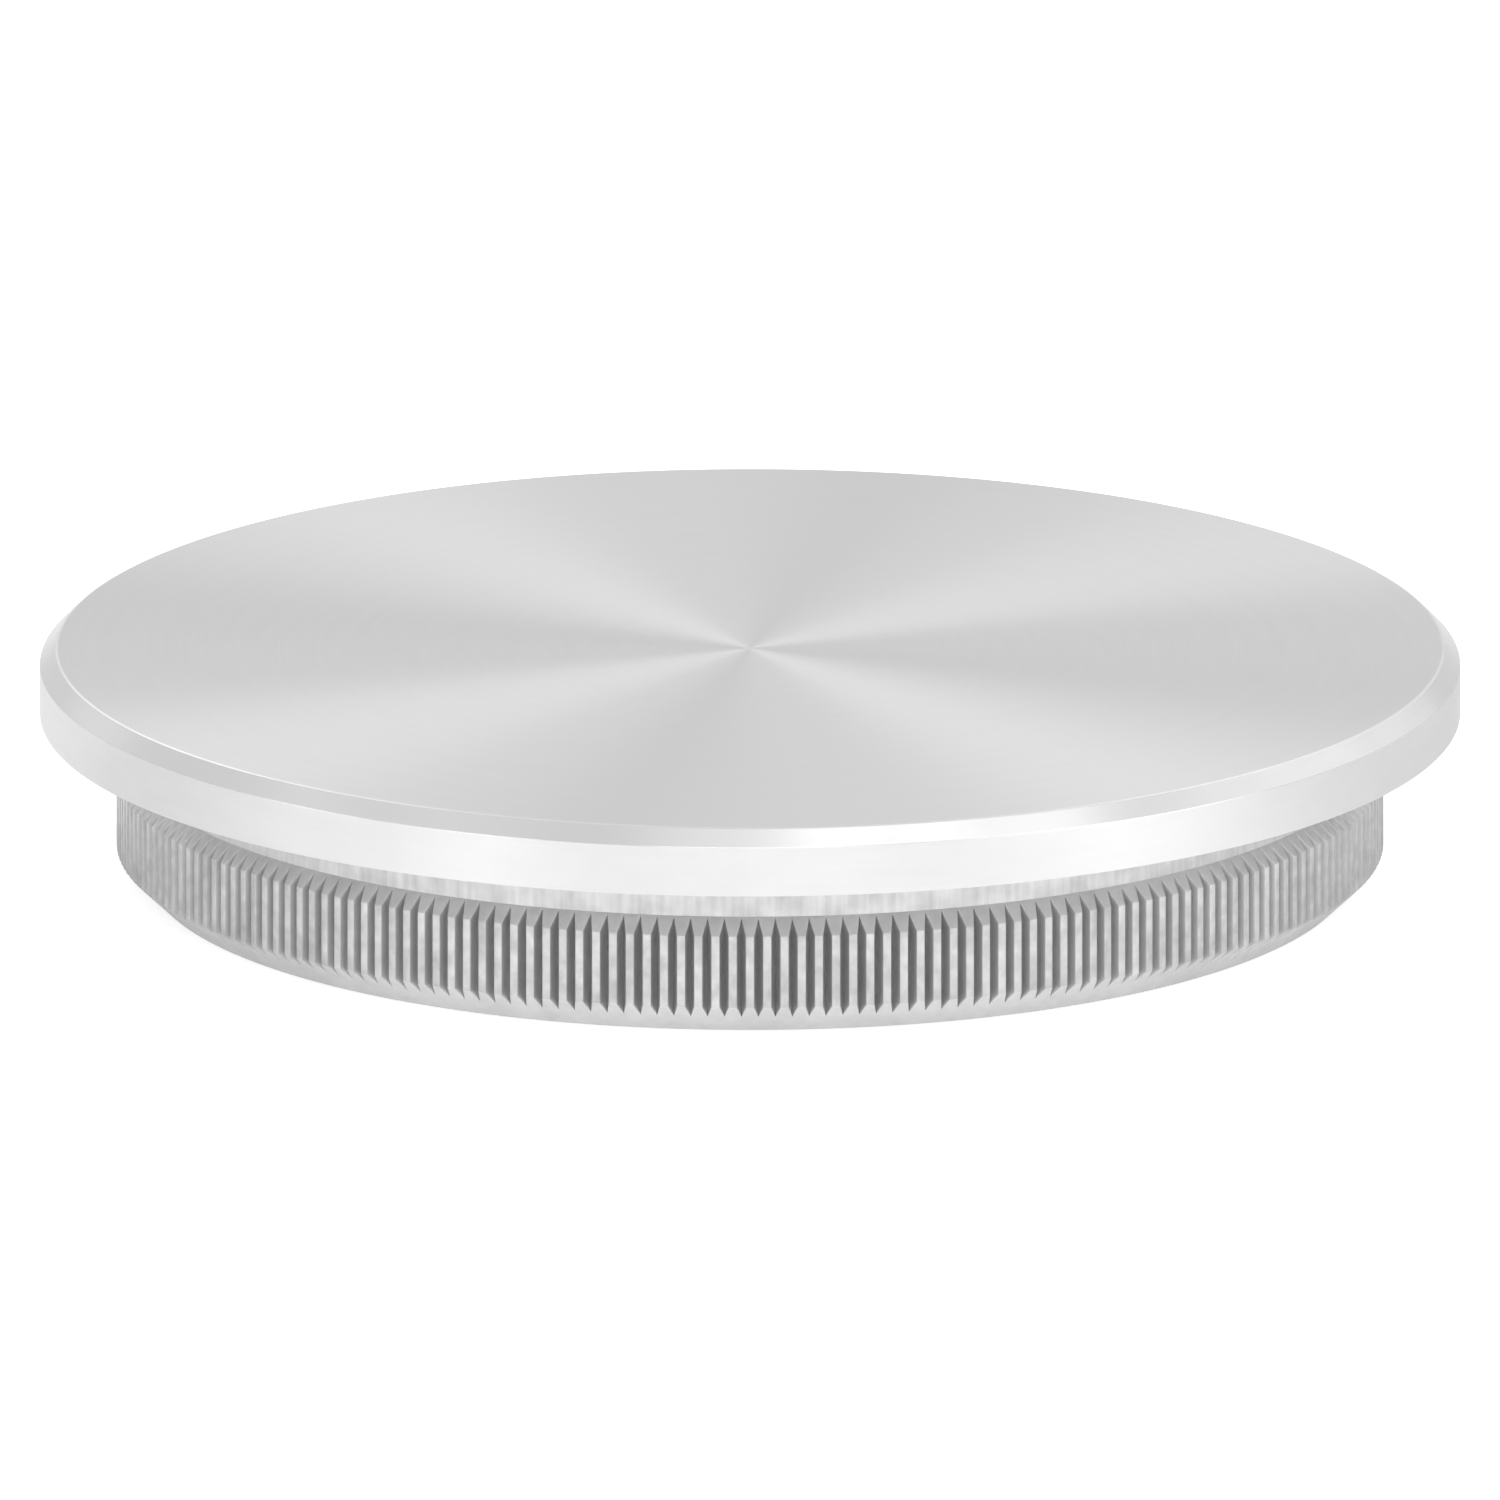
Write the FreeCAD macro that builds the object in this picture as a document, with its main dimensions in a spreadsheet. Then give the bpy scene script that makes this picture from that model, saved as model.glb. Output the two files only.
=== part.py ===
import FreeCAD, Part
import Sketcher
import os

# Knock-in end plug for a round handrail tube, turned in one piece from stainless bar. A flat
# head covers the tube's end, and a knurled spigot under it is driven into the bore: only its
# crests bite, and the neck above them runs clear. The tube end lands on the shoulder under
# the head. A recess lightens the hidden underside.
# Frame: Z is the turning axis, up towards the head, and the spigot's base ring is at Z = 0.

NODE = "end_plug"

# Driving sizes in millimetres, and the groove's angle in degrees.
SIZES = {
    "tube_diameter": 42.4,  # outside of the tube, which the head matches
    "tube_wall": 2.5,
    "head_thickness": 2.0,
    "head_bevel_width": 0.5,  # 45-degree bevel round the top face
    "shoulder_bevel_width": 0.5,  # the same in the corner between neck and head
    "neck_clearance": 0.25,  # neck to bore, on the radius
    "neck_length": 1.35,
    "knurl_bite": 0.2,  # how far the crests stand proud of the bore, on the radius
    "knurl_pitch": 0.516,  # crest to crest, round the crests
    "knurl_taper_length": 0.5,  # taper from the neck out to the crests
    "knurl_length": 2.2,  # full-height stretch of the crests
    "groove_depth": 0.42,
    "groove_angle": 36.0,
    "leadin_length": 0.95,
    "leadin_clearance": 0.8,  # base of the lead-in to bore, on the radius
    "spigot_wall": 2.45,  # from the neck in to the recess
    "web_thickness": 2.2,  # from the recess's floor up to the top face
    "recess_floor_bevel_width": 0.5,
    "recess_mouth_bevel_width": 0.3,
}

HEAD_RADIUS = "(Sizes.tube_diameter / 2)"
BORE_RADIUS = f"({HEAD_RADIUS} - Sizes.tube_wall)"
NECK_RADIUS = f"({BORE_RADIUS} - Sizes.neck_clearance)"
CREST_RADIUS = f"({BORE_RADIUS} + Sizes.knurl_bite)"
ROOT_RADIUS = f"({CREST_RADIUS} - Sizes.groove_depth)"
LEADIN_RADIUS = f"({BORE_RADIUS} - Sizes.leadin_clearance)"
RECESS_RADIUS = f"({NECK_RADIUS} - Sizes.spigot_wall)"
TOP_FACE_RADIUS = f"({HEAD_RADIUS} - Sizes.head_bevel_width)"

CREST_BASE = "Sizes.leadin_length"
CREST_TOP = f"({CREST_BASE} + Sizes.knurl_length)"
NECK_BASE = f"({CREST_TOP} + Sizes.knurl_taper_length)"
SHOULDER = f"({NECK_BASE} + Sizes.neck_length)"
TOP_FACE = f"({SHOULDER} + Sizes.head_thickness)"
BEVEL_BASE = f"({TOP_FACE} - Sizes.head_bevel_width)"
RECESS_FLOOR = f"({TOP_FACE} - Sizes.web_thickness)"

# The cutter of one groove reaches outside the crests, but not as far as its neighbours', and
# ends beside the neck, below the shoulder's bevel.
CUTTER_RADIUS = f"({CREST_RADIUS} + Sizes.groove_depth / 2)"
CUTTER_HALF_WIDTH = f"(({CUTTER_RADIUS} - {ROOT_RADIUS}) * tan(Sizes.groove_angle / 2))"
CUTTER_LENGTH = f"({NECK_BASE} + (Sizes.neck_length - Sizes.shoulder_bevel_width) / 2)"
GROOVE_COUNT = f"round(2 * pi * {CREST_RADIUS} / Sizes.knurl_pitch)"

ZERO = "0"

# How a sketch names its own origin, and the start of one of its lines.
ORIGIN = (-1, 1)
START = 1

# The constraint that takes a distance's place where the distance is zero.
ALIGNED = {"DistanceX": "Vertical", "DistanceY": "Horizontal"}

# How near an edge must be to its expected circle to be taken for it.
SAME_PLACE = 1e-4


def make_sizes(document):
    sheet = document.addObject("Spreadsheet::Sheet", "Sizes")
    for row, (name, value) in enumerate(SIZES.items(), start=1):
        sheet.set(f"A{row}", name)
        sheet.set(f"B{row}", str(value))
        sheet.setAlias(f"B{row}", name)
    document.recompute()
    return sheet


def origin_part(body, role):
    return next(part for part in body.Origin.OriginFeatures if part.Role == role)


def new_sketch(body, name, plane):
    sketch = body.newObject("Sketcher::SketchObject", name)
    sketch.AttachmentSupport = [(origin_part(body, plane), "")]
    sketch.MapMode = "FlatFace"
    return sketch


def hold(sketch, line, kind, distance):
    """Keeps the start of a sketch line in line with the origin, or at a distance from it that
    follows the sizes."""
    if distance == ZERO:
        sketch.addConstraint(Sketcher.Constraint(ALIGNED[kind], *ORIGIN, line, START))
        return
    value = sketch.evalExpression(distance)
    index = sketch.addConstraint(Sketcher.Constraint(kind, *ORIGIN, line, START, value))
    sketch.setExpression(f"Constraints[{index}]", distance)


def join(sketch, line, following):
    """Puts the end of a sketch line, its point 2, on the start of the one that follows."""
    sketch.addConstraint(Sketcher.Constraint("Coincident", line, 2, following, START))


def draw_outline(sketch, corners):
    """Draws a closed outline whose corners, as pairs of across and up, follow the sizes."""
    points = [
        FreeCAD.Vector(sketch.evalExpression(across), sketch.evalExpression(up), 0)
        for across, up in corners
    ]
    count = len(corners)
    for line in range(count):
        sketch.addGeometry(Part.LineSegment(points[line], points[(line + 1) % count]))
    for line in range(count):
        join(sketch, line, (line + 1) % count)
    for line, (across, up) in enumerate(corners):
        hold(sketch, line, "DistanceX", across)
        hold(sketch, line, "DistanceY", up)


def circle_edge(feature, radius, height):
    """Name of the feature's round edge of that radius at that height."""
    radius = feature.evalExpression(radius)
    height = feature.evalExpression(height)
    for number, edge in enumerate(feature.Shape.Edges, start=1):
        curve = edge.Curve
        if not isinstance(curve, Part.Circle):
            continue
        if abs(curve.Radius - radius) > SAME_PLACE:
            continue
        if abs(curve.Center.z - height) < SAME_PLACE:
            return f"Edge{number}"
    raise RuntimeError(f"no round edge of radius {radius} at height {height}")


def make_turned_blank(body):
    profile = new_sketch(body, "TurnedProfile", "XZ_Plane")
    draw_outline(
        profile,
        [
            (ZERO, ZERO),
            (LEADIN_RADIUS, ZERO),
            (CREST_RADIUS, CREST_BASE),
            (CREST_RADIUS, CREST_TOP),
            (NECK_RADIUS, NECK_BASE),
            (NECK_RADIUS, SHOULDER),
            (HEAD_RADIUS, SHOULDER),
            (HEAD_RADIUS, BEVEL_BASE),
            (TOP_FACE_RADIUS, TOP_FACE),
            (ZERO, TOP_FACE),
        ],
    )
    blank = body.newObject("PartDesign::Revolution", "TurnedBlank")
    blank.Profile = profile
    blank.ReferenceAxis = (profile, ["V_Axis"])
    blank.Angle = 360
    body.Document.recompute()
    return blank


def bevel_edge(body, name, base, size, radius, height):
    """Bevels one round edge of the base feature at 45 degrees."""
    edge = circle_edge(base, radius, height)
    bevel = body.newObject("PartDesign::Chamfer", name)
    bevel.Base = (base, [edge])
    bevel.setExpression("Size", size)
    body.Document.recompute()
    return bevel


def make_recess(body):
    outline = new_sketch(body, "RecessOutline", "XY_Plane")
    radius = outline.evalExpression(RECESS_RADIUS)
    circle = Part.Circle(FreeCAD.Vector(0, 0, 0), FreeCAD.Vector(0, 0, 1), radius)
    outline.addGeometry(circle)
    outline.addConstraint(Sketcher.Constraint("Coincident", 0, 3, *ORIGIN))
    index = outline.addConstraint(Sketcher.Constraint("Radius", 0, radius))
    outline.setExpression(f"Constraints[{index}]", RECESS_RADIUS)
    recess = body.newObject("PartDesign::Pocket", "Recess")
    recess.Profile = outline
    recess.Reversed = True
    recess.setExpression("Length", RECESS_FLOOR)
    body.Document.recompute()
    return recess


def make_groove(body):
    outline = new_sketch(body, "GrooveOutline", "XY_Plane")
    draw_outline(
        outline,
        [
            (ROOT_RADIUS, ZERO),
            (CUTTER_RADIUS, CUTTER_HALF_WIDTH),
            (CUTTER_RADIUS, f"-{CUTTER_HALF_WIDTH}"),
        ],
    )
    groove = body.newObject("PartDesign::Pocket", "KnurlGroove")
    groove.Profile = outline
    groove.Reversed = True
    groove.setExpression("Length", CUTTER_LENGTH)
    body.Document.recompute()
    return groove


def make_knurl(body, groove):
    knurl = body.newObject("PartDesign::PolarPattern", "Knurl")
    knurl.Originals = [groove]
    knurl.Axis = (origin_part(body, "Z_Axis"), [""])
    knurl.Angle = 360
    knurl.setExpression("Occurrences", GROOVE_COUNT)
    body.Tip = knurl
    body.Document.recompute()
    return knurl


def check_less(after, before):
    """A cut that misses the solid leaves the volume as it was."""
    if not after.Shape.Volume < before.Shape.Volume:
        raise RuntimeError(f"{after.Name} takes nothing off {before.Name}")


def check_document(document):
    for item in document.Objects:
        if "Invalid" in item.State or "Error" in item.State:
            raise RuntimeError(f"{item.Name} failed: {item.State}")


def check_shape(body):
    shape = body.Shape
    if shape.isNull() or not shape.isValid() or len(shape.Solids) != 1:
        raise RuntimeError(f"{body.Label} isn't one valid solid")


def make_plug(document):
    body = document.addObject("PartDesign::Body", NODE)
    body.Label = NODE
    blank = make_turned_blank(body)
    cornered = bevel_edge(
        body, "ShoulderBevel", blank, "Sizes.shoulder_bevel_width", NECK_RADIUS, SHOULDER
    )
    recess = make_recess(body)
    check_less(recess, cornered)
    floored = bevel_edge(
        body, "RecessFloorBevel", recess,
        "Sizes.recess_floor_bevel_width", RECESS_RADIUS, RECESS_FLOOR,
    )
    opened = bevel_edge(
        body, "RecessMouthBevel", floored,
        "Sizes.recess_mouth_bevel_width", RECESS_RADIUS, ZERO,
    )
    check_less(opened, floored)
    groove = make_groove(body)
    check_less(groove, opened)
    knurl = make_knurl(body, groove)
    check_less(knurl, groove)
    return body


def main():
    document = FreeCAD.newDocument("TubeEndPlug")
    make_sizes(document)
    plug = make_plug(document)
    check_document(document)
    check_shape(plug)
    os.makedirs("parts", exist_ok=True)
    plug.Shape.exportStep(os.path.join("parts", f"{plug.Label}.step"))
    box = plug.Shape.BoundBox
    print(f"{plug.Label}: {box.XLength:.3f} x {box.YLength:.3f} x {box.ZLength:.3f} mm,"
          f" volume {plug.Shape.Volume:.1f} mm3")


main()
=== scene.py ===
import math
import bpy
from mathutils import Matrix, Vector


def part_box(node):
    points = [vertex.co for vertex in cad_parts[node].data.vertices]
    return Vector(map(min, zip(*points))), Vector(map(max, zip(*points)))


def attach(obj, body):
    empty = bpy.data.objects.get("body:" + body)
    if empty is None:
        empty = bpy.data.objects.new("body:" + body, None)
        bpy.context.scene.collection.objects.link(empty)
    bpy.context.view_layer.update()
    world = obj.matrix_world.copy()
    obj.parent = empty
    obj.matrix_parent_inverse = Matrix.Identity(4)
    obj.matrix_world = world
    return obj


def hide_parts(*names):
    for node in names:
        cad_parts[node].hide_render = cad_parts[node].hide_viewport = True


# Looks of the tube end plug. One skin with its own grooves, roundings and steel takes the plain
# solid's place. It stands on a pale floor under soft lamps, seen as in the photograph.

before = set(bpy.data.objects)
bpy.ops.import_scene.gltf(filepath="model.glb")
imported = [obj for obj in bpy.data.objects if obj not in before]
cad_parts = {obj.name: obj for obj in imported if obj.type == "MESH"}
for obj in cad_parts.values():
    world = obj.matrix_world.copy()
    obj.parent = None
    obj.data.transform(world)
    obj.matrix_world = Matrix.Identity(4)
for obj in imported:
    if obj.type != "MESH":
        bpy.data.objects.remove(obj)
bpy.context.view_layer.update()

NODE = "end_plug"
BODY = "root"

MM = 0.001

# The plug's own sizes, as in its solid. The head's radius and the top face come from the frame.
HEAD_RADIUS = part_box(NODE)[1].x
TOP_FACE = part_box(NODE)[1].z
HEAD_THICKNESS = 2.0 * MM
HEAD_BEVEL = 0.5 * MM
SHOULDER_BEVEL = 0.5 * MM
NECK_RADIUS = 18.45 * MM
CREST_RADIUS = 18.9 * MM
LEADIN_RADIUS = 17.9 * MM
LEADIN_LENGTH = 0.95 * MM
KNURL_LENGTH = 2.2 * MM
KNURL_TAPER_LENGTH = 0.5 * MM
GROOVE_COUNT = 230
GROOVE_DEPTH = 0.42 * MM
GROOVE_ANGLE = math.radians(36)
RECESS_RADIUS = 16.0 * MM
WEB_THICKNESS = 2.2 * MM
RECESS_FLOOR_BEVEL = 0.5 * MM
RECESS_MOUTH_BEVEL = 0.3 * MM

SHOULDER = TOP_FACE - HEAD_THICKNESS
CREST_TOP = LEADIN_LENGTH + KNURL_LENGTH
NECK_BASE = CREST_TOP + KNURL_TAPER_LENGTH
RECESS_FLOOR = TOP_FACE - WEB_THICKNESS
ROOT_RADIUS = CREST_RADIUS - GROOVE_DEPTH
PITCH = 2 * math.pi / GROOVE_COUNT

# Small roundings that the solid leaves sharp.
TOP_EDGE_ROUNDING = 0.12 * MM
BEVEL_EDGE_ROUNDING = 0.05 * MM
RIM_EDGE_ROUNDING = 0.03 * MM
TURNED_EDGE_ROUNDING = 0.05 * MM
CREST_EDGE_ROUNDING = 0.03 * MM
ARC_STEPS = 5

# How far inside the ends of a long straight its extra rings are, which keep it shaded flat,
# and how long such a straight is at least.
BRACE = 0.02 * MM
LONG_STRAIGHT = 4 * BRACE

# The turn from which a corner of a profile stays a sharp edge.
SHARP_TURN = math.radians(20)

# Places of the rings between a groove's tip and the crests, and along the crests, as shares.
TIP_SHARES = (0.08, 0.25, 0.5, 0.75)
CREST_SHARES = (0.2, 0.4, 0.6, 0.8)

# Faces round a knurled band: on one flank of a groove, and on a crest.
FLANK_FACES = 3
CREST_FACES = 4

# The photograph is 1500 pixels square, and the head spans 1421 of them. It looks down at the
# plug from 15 degrees, with the top face's middle at row 648.
PHOTO_SIDE = 1500
PHOTO_HEAD_WIDTH = 1421
PHOTO_TOP_FACE_ROW = 648.2
VIEW_ELEVATION = math.radians(15)
CAMERA_DISTANCE = 0.5


# Profiles, as points of radius, height and the zone of the band that follows

def turn_at(before, corner, after):
    """How far a profile turns at one of its points, in radians."""
    into = math.atan2(corner[1] - before[1], corner[0] - before[0])
    out = math.atan2(after[1] - corner[1], after[0] - corner[0])
    return math.remainder(out - into, 2 * math.pi)


def rounded(corners):
    """Turns (radius, height, rounding, zone) corners into profile points with arcs at the
    corners. An arc belongs half to the zone before it and half to its own, or else to the
    arc's zone, a fifth value."""
    points = []
    for i, (r, z, rounding, zone, *arc_zone) in enumerate(corners):
        if not rounding:
            points.append((r, z, zone))
            continue
        before, after = corners[i - 1], corners[i + 1]
        into = math.atan2(z - before[1], r - before[0])
        turn = turn_at(before, (r, z), after)
        reach = rounding * math.tan(abs(turn) / 2)
        start = (r - reach * math.cos(into), z - reach * math.sin(into))
        side = math.copysign(math.pi / 2, turn)
        centre = (
            start[0] + rounding * math.cos(into + side),
            start[1] + rounding * math.sin(into + side),
        )
        halves = 2 * arc_zone or [before[3], zone]
        for step in range(ARC_STEPS + 1):
            heading = into + turn * step / ARC_STEPS
            points.append(
                (
                    centre[0] - rounding * math.cos(heading + side),
                    centre[1] - rounding * math.sin(heading + side),
                    zone if step == ARC_STEPS else halves[2 * step > ARC_STEPS],
                )
            )
    return points


def spread(start, end, shares):
    """Profile points between two others, each at a share of the way."""
    return [
        tuple(a + (b - a) * share for a, b in zip(start[:2], end[:2])) + (start[2],)
        for share in shares
    ]


def braced(profile):
    """Adds a ring just inside both ends of every long straight of a profile, but none next to
    an end on the axis."""
    points = []
    for start, end in zip(profile, profile[1:]):
        points.append(start)
        length = math.dist(start[:2], end[:2])
        if length > LONG_STRAIGHT:
            ends = ((BRACE / length, start[0]), (1 - BRACE / length, end[0]))
            points += spread(start, end, [share for share, radius in ends if radius])
    return [*points, profile[-1]]


def leadin_height(radius):
    share = (radius - LEADIN_RADIUS) / (CREST_RADIUS - LEADIN_RADIUS)
    return LEADIN_LENGTH * share


def taper_height(radius):
    share = (CREST_RADIUS - radius) / (CREST_RADIUS - NECK_RADIUS)
    return CREST_TOP + KNURL_TAPER_LENGTH * share


def under_side():
    """Profile from the middle of the recess's floor out and down to the groove's lower tips."""
    edge = TURNED_EDGE_ROUNDING
    corners = rounded(
        [
            (0, RECESS_FLOOR, 0, "recess"),
            (RECESS_RADIUS - RECESS_FLOOR_BEVEL, RECESS_FLOOR, edge, "recess"),
            (RECESS_RADIUS, RECESS_FLOOR - RECESS_FLOOR_BEVEL, edge, "recess"),
            (RECESS_RADIUS, RECESS_MOUTH_BEVEL, edge, "recess"),
            (RECESS_RADIUS + RECESS_MOUTH_BEVEL, 0, edge, "base"),
            (LEADIN_RADIUS, 0, edge, "leadin"),
            (ROOT_RADIUS, leadin_height(ROOT_RADIUS), 0, "leadin"),
        ]
    )
    return braced(corners)


def knurled_band():
    """Profile over the crests, between the lower and the upper tips of the grooves."""
    low = (ROOT_RADIUS, leadin_height(ROOT_RADIUS), "leadin")
    high = (ROOT_RADIUS, taper_height(ROOT_RADIUS), "taper")
    edge = TURNED_EDGE_ROUNDING
    arcs = rounded(
        [
            (*low[:2], 0, "leadin"),
            (CREST_RADIUS, LEADIN_LENGTH, edge, "knurl"),
            (CREST_RADIUS, CREST_TOP, edge, "taper"),
            (*high[:2], 0, "taper"),
        ]
    )[1:-1]
    middle = len(arcs) // 2
    return [
        *spread(low, arcs[0], TIP_SHARES),
        *arcs[:middle],
        *spread(arcs[middle - 1], arcs[middle], CREST_SHARES),
        *arcs[middle:],
        *reversed(spread(high, arcs[-1], TIP_SHARES)),
    ]


def upper_side():
    """Profile from the groove's upper tips up the neck and round the head to its middle."""
    edge = TURNED_EDGE_ROUNDING
    corners = rounded(
        [
            (ROOT_RADIUS, taper_height(ROOT_RADIUS), 0, "taper"),
            (NECK_RADIUS, NECK_BASE, 0, "neck"),
            (NECK_RADIUS, SHOULDER - SHOULDER_BEVEL, edge, "neck"),
            (NECK_RADIUS + SHOULDER_BEVEL, SHOULDER, edge, "shoulder"),
            (HEAD_RADIUS, SHOULDER, RIM_EDGE_ROUNDING, "rim"),
            (HEAD_RADIUS, TOP_FACE - HEAD_BEVEL, BEVEL_EDGE_ROUNDING, "bevel"),
            (HEAD_RADIUS - HEAD_BEVEL, TOP_FACE, TOP_EDGE_ROUNDING, "top", "edge"),
            (0, TOP_FACE, 0, "top"),
        ]
    )
    return braced(corners)


def groove_section(radius):
    """Half a groove where the crests have that radius, from its root to the middle of a crest,
    as (distance from the groove's middle, radius). One point rounds the crest's edge, the
    middle of a curve that is drawn towards the corner."""
    depth = radius - ROOT_RADIUS
    edge = CREST_EDGE_ROUNDING * depth / GROOVE_DEPTH
    corner = depth * math.tan(GROOVE_ANGLE / 2)
    flank_end = corner - edge * math.sin(GROOVE_ANGLE / 2)
    flank_radius = radius - edge * math.cos(GROOVE_ANGLE / 2)
    crest_start = corner + edge
    return [
        (0, ROOT_RADIUS),
        (flank_end / 2, (ROOT_RADIUS + flank_radius) / 2),
        (flank_end, flank_radius),
        ((flank_end + 2 * corner + crest_start) / 4, (flank_radius + 3 * radius) / 4),
        (crest_start, radius),
        (radius * PITCH / 2, radius),
    ]


# The plug's skin

class Shell:
    """The plug's closed skin, built ring by ring from the recess's middle to the top's."""

    def __init__(self):
        self.points = []
        self.faces = []
        self.zones = []
        self.creases = set()

    def add_face(self, corners, zone):
        self.faces.append(corners)
        self.zones.append(zone)

    def add_point(self, angle, radius, height):
        self.points.append((radius * math.cos(angle), radius * math.sin(angle), height))
        return len(self.points) - 1

    def crease(self, run):
        """Keeps the edges between successive points of a run unsmoothed."""
        for first, second in zip(run, run[1:]):
            self.creases.add((min(first, second), max(first, second)))

    def plain_ring(self, radius, height):
        """A ring with one point at each groove's middle and one at each crest's."""
        return [
            self.add_point(PITCH * step / 2, radius, height) for step in range(2 * GROOVE_COUNT)
        ]

    def knurled_ring(self, radius, height):
        """A ring that follows every groove: ten points from one groove's middle to the next."""
        half = groove_section(radius)
        ring = []
        for groove in range(GROOVE_COUNT):
            middle = PITCH * groove
            for across, out in half:
                ring.append(self.add_point(middle + across / radius, out, height))
            for across, out in reversed(half[1:-1]):
                ring.append(self.add_point(middle + PITCH - across / radius, out, height))
        return ring

    def band(self, low, high, zones):
        """Quads between two rings of as many points. The zones repeat along the ring."""
        count = len(low)
        for i in range(count):
            j = (i + 1) % count
            self.add_face((low[i], low[j], high[j], high[i]), zones[i % len(zones)])

    def tips(self, plain, knurled, zone, flip):
        """Faces between a plain ring and a knurled one, where each groove ends in a point. The
        zone is that of the crests' ends between them."""
        half = len(knurled) // len(plain)
        for i, point in enumerate(plain):
            following = plain[(i + 1) % len(plain)]
            run = [knurled[(half * i + k) % len(knurled)] for k in range(half + 1)]
            if i % 2:
                land = (point, following, run[1], run[0])
                fan = [(following, run[k + 1], run[k]) for k in range(1, half)]
            else:
                land = (point, following, run[-1], run[-2])
                fan = [(point, run[k + 1], run[k]) for k in range(half - 1)]
            self.add_face(land[::-1] if flip else land, zone)
            for face in fan:
                self.add_face(face[::-1] if flip else face, "groove")

    def cap(self, ring, centre, zone, flip):
        """Triangles from a ring to a point in its middle."""
        for i in range(len(ring)):
            face = (ring[i], ring[(i + 1) % len(ring)], centre)
            self.add_face(face[::-1] if flip else face, zone)

    def turned(self, profile, first):
        """Plain rings along a profile, with the bands between them. The first ring is given,
        and the last is returned."""
        ring = first
        for before, corner, after in zip(profile, profile[1:], [*profile[2:], None]):
            fresh = self.plain_ring(*corner[:2])
            self.band(ring, fresh, [before[2]])
            ring = fresh
            if after and abs(turn_at(before, corner, after)) > SHARP_TURN:
                self.crease([*ring, ring[0]])
        return ring


def build_shell():
    shell = Shell()
    under = under_side()
    first_ring = shell.plain_ring(*under[1][:2])
    floor_middle = shell.add_point(0, *under[0][:2])
    shell.cap(first_ring, floor_middle, under[0][2], flip=True)
    low_tips = shell.turned(under[1:], first_ring)
    knurl = knurled_band()
    rings = [shell.knurled_ring(r, z) for r, z, _ in knurl]
    shell.tips(low_tips, rings[0], "leadin", flip=False)
    flank = ["groove"] * FLANK_FACES
    for low, high, (_, _, zone) in zip(rings, rings[1:], knurl):
        shell.band(low, high, flank + [zone] * CREST_FACES + flank)
    upper = upper_side()
    high_tips = shell.plain_ring(*upper[0][:2])
    shell.tips(high_tips, rings[-1], "taper", flip=True)
    for groove in range(GROOVE_COUNT):
        root = [ring[groove * (2 * FLANK_FACES + CREST_FACES)] for ring in rings]
        shell.crease([low_tips[2 * groove], *root, high_tips[2 * groove]])
    last_ring = shell.turned(upper[:-1], high_tips)
    top_middle = shell.add_point(0, *upper[-1][:2])
    shell.cap(last_ring, top_middle, "top", flip=False)
    return shell


# Nodes that the materials share

def new_material(name):
    material = bpy.data.materials.new(name)
    material.use_nodes = True
    return material, material.node_tree.nodes, material.node_tree.links


def grey(shade):
    return (shade, shade, shade, 1)


def maths(nodes, links, operation, first, second):
    """A Math node. Each input is a number or another node's output."""
    node = nodes.new("ShaderNodeMath")
    node.operation = operation
    for socket, value in zip(node.inputs, (first, second)):
        if isinstance(value, (int, float)):
            socket.default_value = value
        else:
            links.new(value, socket)
    return node.outputs[0]


def map_range(nodes, links, value, source=(0, 1), target=(0, 1)):
    """Carries a value over from one range to another, where it stops at the ends."""
    node = nodes.new("ShaderNodeMapRange")
    for name, number in zip(("From Min", "From Max", "To Min", "To Max"), (*source, *target)):
        node.inputs[name].default_value = number
    links.new(value, node.inputs["Value"])
    return node.outputs["Result"]


def object_axes(nodes, links):
    """The place on an object, as the outputs x, y and z."""
    axes = nodes.new("ShaderNodeSeparateXYZ")
    links.new(nodes.new("ShaderNodeTexCoord").outputs["Object"], axes.inputs[0])
    return axes.outputs


def polar_angle(nodes, links, x, y):
    """Angle about Z in radians: 0 on the camera's side, growing to its right."""
    return maths(nodes, links, "ARCTAN2", x, maths(nodes, links, "MULTIPLY", y, -1))


def polar_radius(nodes, links, x, y):
    """Distance from Z in metres."""
    squares = maths(
        nodes, links, "ADD",
        maths(nodes, links, "MULTIPLY", x, x), maths(nodes, links, "MULTIPLY", y, y),
    )
    return maths(nodes, links, "SQRT", squares, 0)


def polar_vector(nodes, links, around, along, outward):
    """The place on the plug as (angle, height, radius), each times a scale per metre. The angle
    is measured along the neck's skin, with its seam behind the plug."""
    x, y, z = object_axes(nodes, links)
    angle = polar_angle(nodes, links, x, y)
    radius = polar_radius(nodes, links, x, y)
    polar = nodes.new("ShaderNodeCombineXYZ")
    links.new(maths(nodes, links, "MULTIPLY", angle, around * NECK_RADIUS), polar.inputs[0])
    links.new(maths(nodes, links, "MULTIPLY", z, along), polar.inputs[1])
    links.new(maths(nodes, links, "MULTIPLY", radius, outward), polar.inputs[2])
    return polar.outputs[0]


# Steel

# Marks, as noise scales per metre around, along and outward.
TURNED_FACE = [(40, 0, 9000), (300, 0, 2500)]
TURNED_RIM = [(150, 9000, 0), (900, 1500, 0)]
FORMED = [(2500, 2500, 2500), (700, 400, 0)]
STREAKED = [(5000, 300, 0), (1200, 1500, 0)]

# The noise's middle stretch, which is pulled out to the full range.
NOISE_MIDDLE = (0.3, 0.7)

# Turns the gloss from along the turning marks to across them.
QUARTER_TURN = 0.25


def speckle(nodes, links, vector):
    """Soft noise between 0 and 1 with its contrast pulled up."""
    noise = nodes.new("ShaderNodeTexNoise")
    noise.inputs["Scale"].default_value = 1
    links.new(vector, noise.inputs["Vector"])
    return map_range(nodes, links, noise.outputs["Fac"], source=NOISE_MIDDLE)


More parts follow.
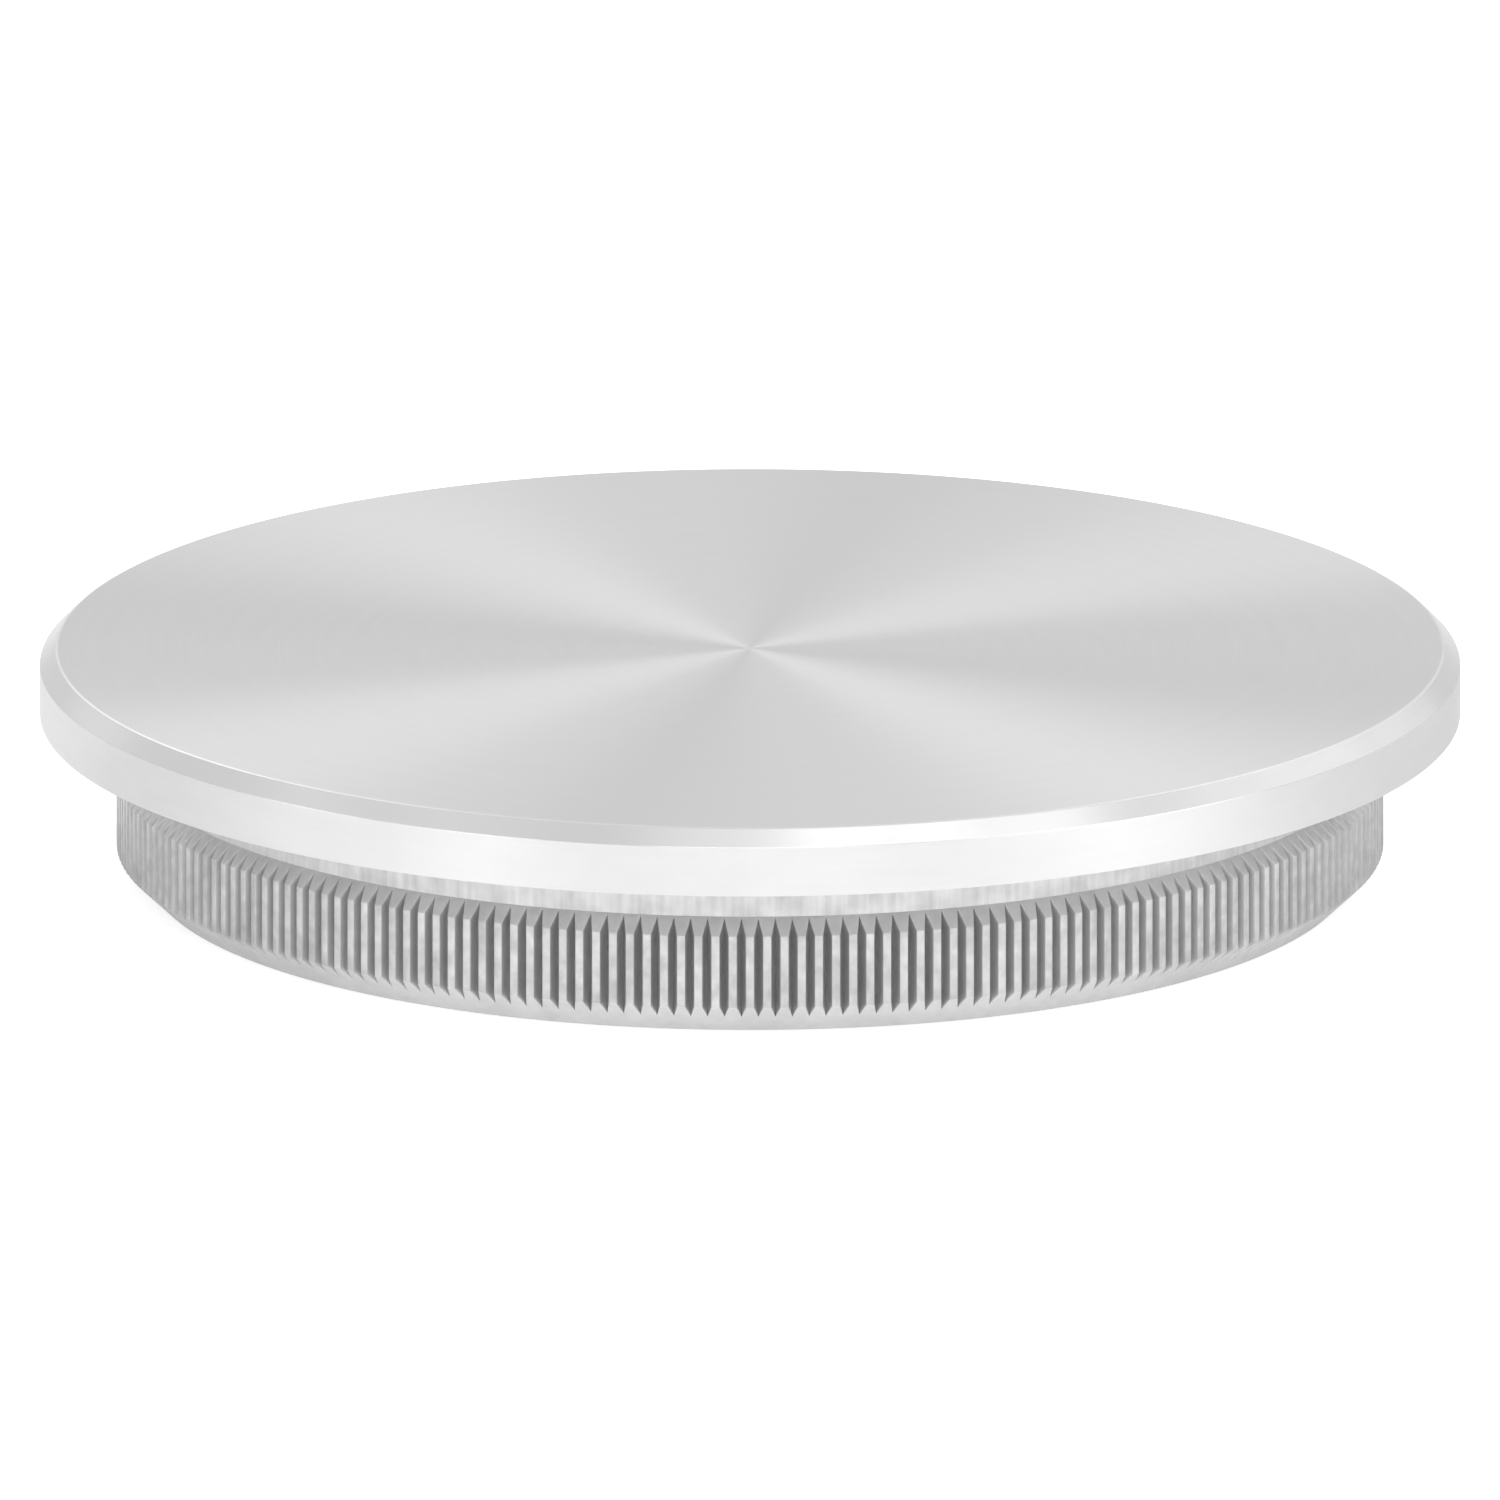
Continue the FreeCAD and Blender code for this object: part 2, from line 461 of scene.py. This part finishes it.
def marked(nodes, links, marks):
    """Share between 0 and 1 by two layers of marks."""
    layers = [speckle(nodes, links, polar_vector(nodes, links, *scales)) for scales in marks]
    return maths(nodes, links, "MULTIPLY", maths(nodes, links, "ADD", *layers), 0.5)


def spread_gloss(nodes, links, shader, anisotropy):
    """Spreads the gloss across the turning marks, which run round the axis."""
    shader.inputs["Anisotropic"].default_value = anisotropy
    shader.inputs["Anisotropic Rotation"].default_value = QUARTER_TURN
    tangent = nodes.new("ShaderNodeTangent")
    tangent.direction_type = "RADIAL"
    tangent.axis = "Z"
    links.new(tangent.outputs["Tangent"], shader.inputs["Tangent"])


def painted_groove_shade(nodes, links, colour, painted_crest_shade):
    """Painted shade: runs a colour from itself at the grooves' roots to a share of it at the
    crests.
    """
    x, y, _ = object_axes(nodes, links)
    depth = map_range(
        nodes, links, polar_radius(nodes, links, x, y),
        source=(ROOT_RADIUS, CREST_RADIUS), target=(1, painted_crest_shade),
    )
    return maths(nodes, links, "MULTIPLY", colour, depth)


def steel(name, shade, roughness, anisotropy, marks, glare=1.0, painted_crest_shade=None):
    """Bare steel. Shade and roughness are pairs that the marks run between. Glare is the share
    that is kept of the brighter reflection at grazing angles."""
    material, nodes, links = new_material(name)
    shader = nodes["Principled BSDF"]
    shader.inputs["Metallic"].default_value = 1
    shader.inputs["Specular Tint"].default_value = grey(glare)
    if anisotropy:
        spread_gloss(nodes, links, shader, anisotropy)
    share = marked(nodes, links, marks)
    colour = map_range(nodes, links, share, target=shade)
    # Painted shade: the grooves' colour darkens from the roots towards the crests.
    if painted_crest_shade:
        colour = painted_groove_shade(nodes, links, colour, painted_crest_shade)
    links.new(colour, shader.inputs["Base Color"])
    links.new(map_range(nodes, links, share, target=roughness), shader.inputs["Roughness"])
    return material


# One steel in lit and shaded copies, each surface's shade set to how bright it shows. Against
# the top face, the paler rim, shoulder and grooves are painted light, and the darker neck,
# taper and crests are painted shade. The marks within each pair are the steel's own uneven
# tone.
ZONE_MATERIALS = {
    "top": steel("steel_top_face", (0.555, 0.57), (0.43, 0.41), 0.9, TURNED_FACE),
    # A burnished edge with a smoother gloss; its paler shade is a painted highlight along the
    # top's edge.
    "edge": steel("steel_edge", (0.58, 0.64), (0.36, 0.32), 0.0, TURNED_RIM),
    "bevel": steel("steel_bevel", (0.575, 0.59), (0.27, 0.24), 0.6, TURNED_RIM, glare=0.9),
    "rim": steel("steel_rim", (0.71, 0.73), (0.46, 0.44), 0.9, TURNED_RIM, glare=0.85),
    "shoulder": steel("steel_shoulder", (0.76, 0.82), (0.37, 0.33), 0.6, TURNED_FACE),
    "neck": steel("steel_neck", (0.38, 0.57), (0.34, 0.28), 0.0, STREAKED),
    "taper": steel("steel_taper", (0.46, 0.54), (0.38, 0.32), 0.0, FORMED),
    "knurl": steel("steel_crests", (0.35, 0.6), (0.36, 0.3), 0.0, FORMED),
    # Paler steel, which paints light into the grooves, with painted shade that darkens it
    # towards the crests.
    "groove": steel(
        "steel_grooves", (0.68, 0.78), (0.56, 0.46), 0.0, FORMED, glare=0.7, painted_crest_shade=0.6
    ),
    "leadin": steel("steel_leadin", (0.55, 0.63), (0.36, 0.3), 0.0, FORMED, glare=0.8),
    "base": steel("steel_base", (0.55, 0.58), (0.37, 0.33), 0.5, TURNED_FACE),
    "recess": steel("steel_recess", (0.55, 0.58), (0.44, 0.38), 0.7, TURNED_FACE),
}


def make_plug():
    shell = build_shell()
    mesh = bpy.data.meshes.new("plug_skin")
    mesh.from_pydata(shell.points, [], shell.faces)
    order = list(ZONE_MATERIALS)
    for material in ZONE_MATERIALS.values():
        mesh.materials.append(material)
    mesh.polygons.foreach_set("material_index", [order.index(zone) for zone in shell.zones])
    mesh.polygons.foreach_set("use_smooth", [True] * len(mesh.polygons))
    for edge in mesh.edges:
        edge.use_edge_sharp = tuple(sorted(edge.vertices)) in shell.creases
    mesh.validate()
    plug = bpy.data.objects.new("plug_skin", mesh)
    bpy.context.scene.collection.objects.link(plug)
    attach(plug, BODY)
    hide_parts(NODE)


# Floor

FLOOR_SIDE = 2.0
FLOOR_SHADE = 0.85

# Glow that the camera sees on the floor, and the glow that the metal reflects from it. The
# second follows the side of the plug, in degrees from the camera's side to its right. Its
# values began as another program's fit to the photograph's brightness. Those from -60 to 60
# and at -120 are that fit, rounded, and the others were raised.
FLOOR_GLOW = 0.5
# The metal's glow is painted light: pools of light on the floor, brightest in front and at the
# back left, dim at the sides and behind, which the camera doesn't see.
REFLECTED_GLOW = {
    -180: 0.2,
    -150: 0.2,
    -120: 0.5,
    -90: 0.1,
    -60: 0.4,
    -30: 0.6,
    0: 0.6,
    30: 0.6,
    60: 0.45,
    90: 0.1,
    120: 0.1,
    150: 0.1,
    180: 0.2,
}

# Sockets of a Mix node that mixes colours.
MIX_FIRST = 6
MIX_SECOND = 7
MIX_RESULT = 2


def seen_directly(nodes, links):
    """1 for the rays that show a surface to the camera, in the metal and through glass."""
    path = nodes.new("ShaderNodeLightPath").outputs
    shown = maths(nodes, links, "MAXIMUM", path["Is Camera Ray"], path["Is Glossy Ray"])
    return maths(nodes, links, "MAXIMUM", shown, path["Is Transmission Ray"])


def reflected_glow(nodes, links):
    """Colour of the floor's glow as the metal reflects it: painted pools of light by the side
    of the plug.
    """
    x, y, _ = object_axes(nodes, links)
    angle = polar_angle(nodes, links, x, y)
    ramp = nodes.new("ShaderNodeValToRGB")
    links.new(map_range(nodes, links, angle, source=(-math.pi, math.pi)), ramp.inputs[0])
    stops = ramp.color_ramp.elements
    for degrees in list(REFLECTED_GLOW)[1:-1]:
        stops.new((degrees + 180) / 360)
    for stop, glow in zip(stops, REFLECTED_GLOW.values()):
        stop.color = grey(glow)
    return ramp.outputs["Color"]


def floor_glow(nodes, links):
    """Colour of the floor's glow, for the camera and for the metal."""
    choice = nodes.new("ShaderNodeMix")
    choice.data_type = "RGBA"
    links.new(nodes.new("ShaderNodeLightPath").outputs["Is Camera Ray"], choice.inputs[0])
    links.new(reflected_glow(nodes, links), choice.inputs[MIX_FIRST])
    choice.inputs[MIX_SECOND].default_value = grey(FLOOR_GLOW)
    return choice.outputs[MIX_RESULT]


def floor_white():
    """A pale floor with a glow that only the camera and the metal see. For the camera it is
    white. From below it lets the view through."""
    material, nodes, links = new_material("floor_white")
    nodes.remove(nodes["Principled BSDF"])
    matt = nodes.new("ShaderNodeBsdfDiffuse")
    matt.inputs["Color"].default_value = grey(FLOOR_SHADE)
    glow = nodes.new("ShaderNodeEmission")
    links.new(floor_glow(nodes, links), glow.inputs["Color"])
    links.new(seen_directly(nodes, links), glow.inputs["Strength"])
    lit = nodes.new("ShaderNodeAddShader")
    links.new(matt.outputs[0], lit.inputs[0])
    links.new(glow.outputs[0], lit.inputs[1])
    side = nodes.new("ShaderNodeNewGeometry")
    clear = nodes.new("ShaderNodeBsdfTransparent")
    either = nodes.new("ShaderNodeMixShader")
    links.new(side.outputs["Backfacing"], either.inputs[0])
    links.new(lit.outputs[0], either.inputs[1])
    links.new(clear.outputs[0], either.inputs[2])
    links.new(either.outputs[0], nodes["Material Output"].inputs["Surface"])
    return material


def make_floor():
    half = FLOOR_SIDE / 2
    corners = [(-half, -half, 0), (half, -half, 0), (half, half, 0), (-half, half, 0)]
    mesh = bpy.data.meshes.new("floor")
    mesh.from_pydata(corners, [], [(0, 1, 2, 3)])
    mesh.materials.append(floor_white())
    floor = bpy.data.objects.new("floor", mesh)
    bpy.context.scene.collection.objects.link(floor)


# Light

WORLD_LIGHT = 0.8
LAMP_DISTANCE = 0.5

# Each softbox: azimuth, elevation, width and height in degrees, and its radiance. The radiances
# are another program's fit to the photograph's brightness, rounded.
SOFTBOXES = {
    "right_lowest": (142, 20, 14, 13, 0.3),
    "left_back_low": (-140, 22, 16, 14, 0.2),
    "right_low": (133, 29, 14, 13, 0.35),
    "left_front": (-48, 33, 17, 24, 1.9),
    "right_front_inner": (16, 33, 17, 24, 0.65),
    "right_front": (64, 33, 17, 24, 1.9),
    "back_left": (-156, 35, 18, 16, 1.4),
    "left": (-84, 35, 18, 16, 1.7),
    "right": (84, 35, 18, 16, 2.4),
    "right_back": (124, 36, 14, 13, 0.45),
    "back_right": (156, 40, 18, 16, 0.85),
    "back_left_inner": (-166, 42, 18, 16, 0.15),
    "right_back_upper": (114, 43, 14, 13, 0.4),
    "back_left_upper": (-150, 48, 18, 16, 0.7),
    "left_upper": (-60, 50, 24, 18, 0.25),
    "right_upper": (60, 50, 24, 18, 1.3),
    "back_right_upper": (150, 52, 24, 18, 0.6),
    "front": (0, 55, 24, 18, 2.0),
    "top_right": (72, 65, 18, 13, 0.45),
    "top_middle": (43, 72, 18, 13, 1.15),
}


def make_world():
    """Even white all round: full white where it is seen, and a little less as light on matt
    surfaces."""
    world = bpy.data.worlds.new("studio")
    world.use_nodes = True
    nodes, links = world.node_tree.nodes, world.node_tree.links
    background = nodes["Background"]
    background.inputs["Color"].default_value = grey(1)
    strength = map_range(nodes, links, seen_directly(nodes, links), target=(WORLD_LIGHT, 1))
    links.new(strength, background.inputs["Strength"])
    bpy.context.scene.world = world


def direction(azimuth, elevation):
    """Unit vector from the plug: azimuth 0 is the camera's side and 90 its right."""
    a, e = math.radians(azimuth), math.radians(elevation)
    return Vector((math.sin(a) * math.cos(e), -math.cos(a) * math.cos(e), math.sin(e)))


def lamp_side(angle):
    """Side of a lamp that spans an angle as the plug sees it."""
    return 2 * LAMP_DISTANCE * math.tan(math.radians(angle) / 2)


def make_softbox(name, azimuth, elevation, width, height, radiance):
    """A rectangular lamp that faces the plug."""
    lamp = bpy.data.lights.new(name, "AREA")
    lamp.shape = "RECTANGLE"
    lamp.size = lamp_side(width)
    lamp.size_y = lamp_side(height)
    lamp.energy = radiance * math.pi * lamp.size * lamp.size_y
    holder = bpy.data.objects.new(name, lamp)
    holder.location = direction(azimuth, elevation) * LAMP_DISTANCE
    holder.rotation_euler = (-holder.location).to_track_quat("-Z", "Y").to_euler()
    bpy.context.scene.collection.objects.link(holder)


# Camera

def make_camera():
    data = bpy.data.cameras.new("camera")
    data.type = "ORTHO"
    pixel = 2 * HEAD_RADIUS / PHOTO_HEAD_WIDTH
    data.ortho_scale = PHOTO_SIDE * pixel
    drop = (PHOTO_SIDE / 2 - PHOTO_TOP_FACE_ROW) * pixel
    aim = TOP_FACE - drop / math.cos(VIEW_ELEVATION)
    camera = bpy.data.objects.new("camera", data)
    camera.location = (
        0,
        -CAMERA_DISTANCE * math.cos(VIEW_ELEVATION),
        aim + CAMERA_DISTANCE * math.sin(VIEW_ELEVATION),
    )
    camera.rotation_euler = (math.pi / 2 - VIEW_ELEVATION, 0, 0)
    bpy.context.scene.collection.objects.link(camera)
    bpy.context.scene.camera = camera


make_plug()
make_floor()
make_world()
for name, box in SOFTBOXES.items():
    make_softbox(name, *box)
make_camera()
bpy.context.scene.view_settings.view_transform = "Standard"
